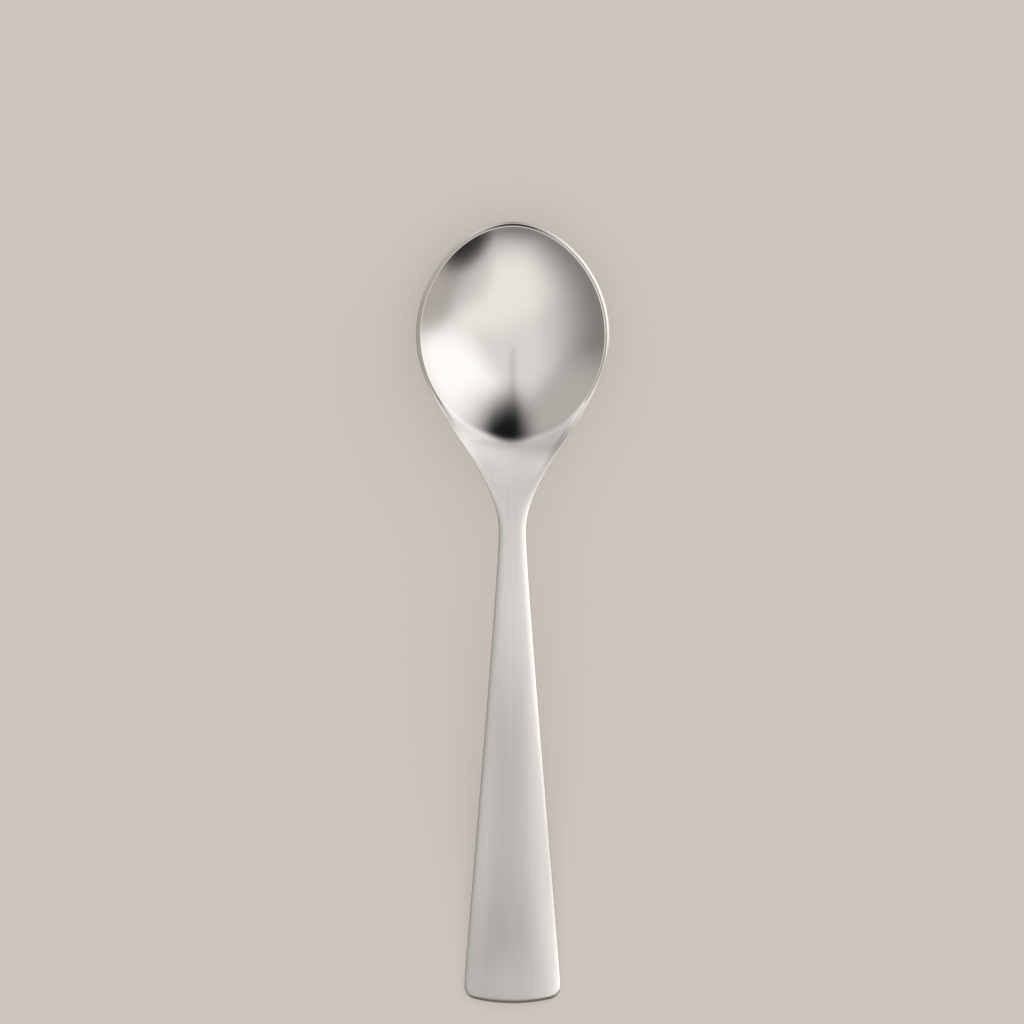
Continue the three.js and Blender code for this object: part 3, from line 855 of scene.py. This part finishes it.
# %% [markdown]
# ## The studio around the spoon
# A spoon is a mirror, so what lights it is also what is seen in it. Lamps would leave hard dots in the
# bowl. In a studio a photographer builds a bright tent and hangs grey and dark sheets in it, and each of
# them draws a soft shape on the steel. The world here is that tent: first a ceiling that dims to one
# side, then soft round panels in front of it, and last a black sheet beyond the tip with a narrow grey
# strip above it. The wall of the heel mirrors those two as the dark triangle and its thin stem.

# %% The tent
ROOM = (0.11, 0.1, 0.095)
BRIGHT_CEILING = (1.3, 1.28, 1.26)
DIM_CEILING = (1.1, 1.085, 1.07)
CEILING_SKEW = 0.3
CEILING_FADE = (-0.35, 0.1)
WALL_TOP = (0.08, 0.75)

world = bpy.data.worlds.new("studio")
bpy.context.scene.world = world
world.use_nodes = True
studio = world.node_tree
studio.nodes.clear()
direction = node(studio, "ShaderNodeTexCoord").outputs["Generated"]
split = node(studio, "ShaderNodeSeparateXYZ")
plug(studio, direction, split.inputs[0])

skew = multiply(studio, split.outputs["X"], CEILING_SKEW)
along_ceiling = calculate(studio, "SUBTRACT", split.outputs["Y"], skew)
ceiling = blend(studio, BRIGHT_CEILING, DIM_CEILING, soft_step(studio, along_ceiling, *CEILING_FADE), "RGBA")
light = blend(studio, ROOM, ceiling, soft_step(studio, split.outputs["Z"], *WALL_TOP), "RGBA")
print(f"tent: ceiling {DIM_CEILING[0]} to {BRIGHT_CEILING[0]}, walls {ROOM[0]}")


# %% Round soft panels
def towards(azimuth, zenith):
    """A direction: azimuth clockwise from +Y seen from above, zenith down from overhead, in degrees."""
    a, z = math.radians(azimuth), math.radians(zenith)
    return (math.sin(a) * math.sin(z), math.cos(a) * math.sin(z), math.cos(z))


def hang_panel(behind, name, colour, azimuth, zenith, full_within, fades_by, density):
    """Hangs a soft round panel in front of the light that is there. All angles are in degrees."""
    aim = node(studio, "ShaderNodeVectorMath", operation="DOT_PRODUCT", label=name)
    plug(studio, direction, aim.inputs[0])
    aim.inputs[1].default_value = towards(azimuth, zenith)
    edge, middle = math.cos(math.radians(fades_by)), math.cos(math.radians(full_within))
    cover = multiply(studio, soft_step(studio, aim.outputs["Value"], edge, middle), density)
    print(f"panel: {name}, {fades_by} degrees to its edge")
    return blend(studio, behind, colour, cover, "RGBA")


light = hang_panel(light, "grey wall", (0.46, 0.445, 0.43), 262, 90, full_within=0, fades_by=75, density=0.62)
light = hang_panel(light, "low fill", (0.76, 0.73, 0.705), 318, 86, full_within=0, fades_by=40, density=0.9)
light = hang_panel(light, "key", (1.63, 1.62, 1.61), 55, 76, full_within=18, fades_by=50, density=1.0)
light = hang_panel(light, "side fill", (0.72, 0.67, 0.64), 108, 85, full_within=0, fades_by=28, density=0.9)
light = hang_panel(light, "haze", (0.55, 0.52, 0.5), 133, 58, full_within=0, fades_by=26, density=0.4)
light = hang_panel(light, "back wall", (0.16, 0.15, 0.14), 184, 90, full_within=0, fades_by=30, density=0.65)
light = hang_panel(light, "small card", (0.03, 0.03, 0.03), 144, 80, full_within=4, fades_by=23, density=0.95)

# %% The grey strip and the black sheet beyond the tip
STRIP = (0.86, 0.845, 0.83)
STRIP_HALF = 0.17
STRIP_FADE = (0.05, 0.35)
BLACK = (0.01, 0.01, 0.01)
BLACK_MIDDLE = 0.17
BLACK_FADE = (0.72, 0.2)
BLACK_RISE = (0.53, 0.93)

beside_strip = calculate(studio, "ABSOLUTE", split.outputs["X"])
strip_ends = soft_step(studio, split.outputs["Y"], *STRIP_FADE)
strip = multiply(studio, soft_step(studio, beside_strip, STRIP_HALF, 0.0), strip_ends)
light = blend(studio, light, STRIP, strip, "RGBA")

from_middle = calculate(studio, "SUBTRACT", split.outputs["X"], BLACK_MIDDLE)
beside_black = calculate(studio, "ABSOLUTE", from_middle)
black_rise = soft_step(studio, split.outputs["Y"], *BLACK_RISE)
black_sheet = multiply(studio, soft_step(studio, beside_black, *BLACK_FADE), black_rise)
light = blend(studio, light, BLACK, black_sheet, "RGBA")

background = node(studio, "ShaderNodeBackground")
plug(studio, light, background.inputs["Color"])
plug(studio, background.outputs[0], node(studio, "ShaderNodeOutputWorld").inputs["Surface"])
print(f"world: {len(studio.nodes)} nodes")

# %% [markdown]
# ## Cards close to the spoon
# A world is endlessly far away, so bowl and handle see the same of it in the same direction. In the
# photograph they do not: the handle darkens towards its end and its right edge is white, while the bowl
# shows none of that. Such light comes from sheets held close by. Each card here glows on its front and is
# clear from behind, so the bowl looks through it. The camera does not see it, it casts no shadow, and
# only reflections find it.

# %% A card that only reflections see
def hang_card(name, corners, point, right, up):
    """Hangs a card at a point, and gives its node tree and the place on it, to the right and upwards."""
    card, tree = flat_piece(name, corners)
    right, up = Vector(right).normalized(), Vector(up).normalized()
    turn = Matrix((right, up, right.cross(up))).transposed()
    card.matrix_world = Matrix.LocRotScale(Vector(point), turn.to_quaternion(), None)
    card.visible_camera = False
    card.visible_diffuse = False
    card.visible_shadow = False
    card.visible_transmission = False
    tree.nodes.clear()
    spot = node(tree, "ShaderNodeSeparateXYZ")
    plug(tree, node(tree, "ShaderNodeTexCoord").outputs["Object"], spot.inputs[0])
    print(f"card: {name}")
    return tree, spot.outputs["X"], spot.outputs["Y"]


def paint_card(tree, cover, colour):
    """Lets the front of a card glow in a colour, as dense as the cover says. Its back stays clear."""
    back_side = node(tree, "ShaderNodeNewGeometry").outputs["Backfacing"]
    front = calculate(tree, "SUBTRACT", 1.0, back_side)
    card = node(tree, "ShaderNodeMixShader")
    plug(tree, multiply(tree, front, cover), card.inputs[0])
    plug(tree, node(tree, "ShaderNodeBsdfTransparent").outputs[0], card.inputs[1])
    glow = node(tree, "ShaderNodeEmission")
    plug(tree, colour, glow.inputs["Color"])
    plug(tree, glow.outputs[0], card.inputs[2])
    plug(tree, card.outputs[0], node(tree, "ShaderNodeOutputMaterial").inputs["Surface"])


# %% [markdown]
# A dark cloth slants up over the handle, away from the bowl, thin at its foot and denser higher up. The
# neck mirrors its thin part and the lower handle its dense part, so the handle darkens along its length.

# %% The scrim over the handle
SCRIM_SLANT = math.radians(60)
SCRIM_FOOT = (0, 0.05, 0.012)
SCRIM_CORNERS = box(-0.5, 0.1, 0.22, 2.5)
SCRIM_FADE = (0.12, 0.62)
SCRIM_DENSITY = 0.765
SCRIM_RIGHT = (0.22, -0.04)
SCRIM_LEFT = (-0.06, -0.24)
SCRIM_LEFT_DENSITY = 0.35
DARK_CLOTH = (0.03, 0.03, 0.03)

lean_back = (0, -math.cos(SCRIM_SLANT), math.sin(SCRIM_SLANT))
cloth, rightward, upward = hang_card("scrim", SCRIM_CORNERS, SCRIM_FOOT, (1, 0, 0), lean_back)
denser = node(cloth, "ShaderNodeMapRange")
plug(cloth, upward, denser.inputs["Value"])
plug(cloth, SCRIM_FADE[0], denser.inputs["From Min"])
plug(cloth, SCRIM_FADE[1], denser.inputs["From Max"])
plug(cloth, SCRIM_DENSITY, denser.inputs["To Max"])
right_end = soft_step(cloth, rightward, *SCRIM_RIGHT)
left_end = blend(cloth, 1.0, SCRIM_LEFT_DENSITY, soft_step(cloth, rightward, *SCRIM_LEFT))
cloth_cover = multiply(cloth, denser.outputs[0], multiply(cloth, right_end, left_end))
paint_card(cloth, cloth_cover, DARK_CLOTH)

# %% [markdown]
# A white paper stands to the right of the handle and widens along it like a sail. The rolled right edge
# mirrors it, and that is the white line of the photograph. It starts faint, because the rim of the bowl
# would see its near end.

# %% The white card beside the handle
SAIL_CORNERS = [(0.05, -0.02), (0.75, -0.3), (0.75, 0.41), (0.05, 0.0275)]
SAIL_POINT = (-0.018, 0.0703, 0.0029)
SAIL_RIGHT = (0.73, -0.484, 0.483)
SAIL_UP = (-0.594, -0.106, 0.793)
SAIL_TOP = (0.55, -0.05)
SAIL_NEAR = (0.054, 0.105)
SAIL_FAR = (0.75, 0.55)
WHITE_PAPER = (2.1, 2.09, 2.08)

sail, rightward, upward = hang_card("white_card", SAIL_CORNERS, SAIL_POINT, SAIL_RIGHT, SAIL_UP)
tilt = calculate(sail, "DIVIDE", upward, rightward)
sail_ends = multiply(sail, soft_step(sail, rightward, *SAIL_NEAR), soft_step(sail, rightward, *SAIL_FAR))
paint_card(sail, multiply(sail, soft_step(sail, tilt, *SAIL_TOP), sail_ends), WHITE_PAPER)

# %% [markdown]
# A low card stands across the heel, light on the left and grey on the right. The dished shoulder mirrors
# it, which gives the shoulder its fall from light to grey just below the bowl.

# %% The graded card at the heel
HEEL_CARD_CORNERS = box(-0.12, 0.02, 0.12, 0.05)
HEEL_CARD_POINT = (0, 0.047, 0)
HEEL_CARD_TURN = (-0.005, 0.007)
HEEL_CARD_TOP = (0.05, 0.032)
LIT_SIDE = (1.6, 1.58, 1.56)
GREY_SIDE = (0.5, 0.49, 0.475)

graded, rightward, upward = hang_card("graded_card", HEEL_CARD_CORNERS, HEEL_CARD_POINT, (1, 0, 0), (0, 0, 1))
shade = blend(graded, LIT_SIDE, GREY_SIDE, soft_step(graded, rightward, *HEEL_CARD_TURN), "RGBA")
paint_card(graded, soft_step(graded, upward, *HEEL_CARD_TOP), shade)

# %% [markdown]
# A last low card stands behind the handle's end. The edge there mirrors it as a thin dark line.

# %% The dark card behind the end
END_CARD_CORNERS = box(-0.06, 0, 0.06, 0.07)
END_CARD_POINT = (0, -0.12, 0)
END_CARD_TOP = (0.07, 0.03)
END_CARD_SIDES = (0.06, 0.03)
DARK_BROWN = (0.21, 0.19, 0.17)

end_card, rightward, upward = hang_card("end_card", END_CARD_CORNERS, END_CARD_POINT, (-1, 0, 0), (0, 0, 1))
soft_sides = soft_step(end_card, calculate(end_card, "ABSOLUTE", rightward), *END_CARD_SIDES)
paint_card(end_card, multiply(end_card, soft_step(end_card, upward, *END_CARD_TOP), soft_sides), DARK_BROWN)

# %% [markdown]
# ## The camera
# The photograph looks straight down, and the spoon's sides show no perspective. An orthographic camera
# would do that, but a real one stands far away with a long lens, and so does this one. The lens and the
# height together set how large the spoon is in the picture, and the small shift along the spoon puts it
# where the photograph has it.

# %% Camera
LENS = 300.0
SENSOR = 36.0
CAMERA_PLACE = (-0.00015, 0.0246, 2.079)

camera_data = bpy.data.cameras.new("camera")
camera_data.lens = LENS
camera_data.sensor_width = SENSOR
camera = bpy.data.objects.new("camera", camera_data)
camera.location = CAMERA_PLACE
bpy.context.scene.collection.objects.link(camera)
bpy.context.scene.camera = camera
bpy.context.scene.view_settings.view_transform = "Standard"
print(f"camera: sees {CAMERA_PLACE[2] * SENSOR / LENS / MM:.1f} mm of the floor")
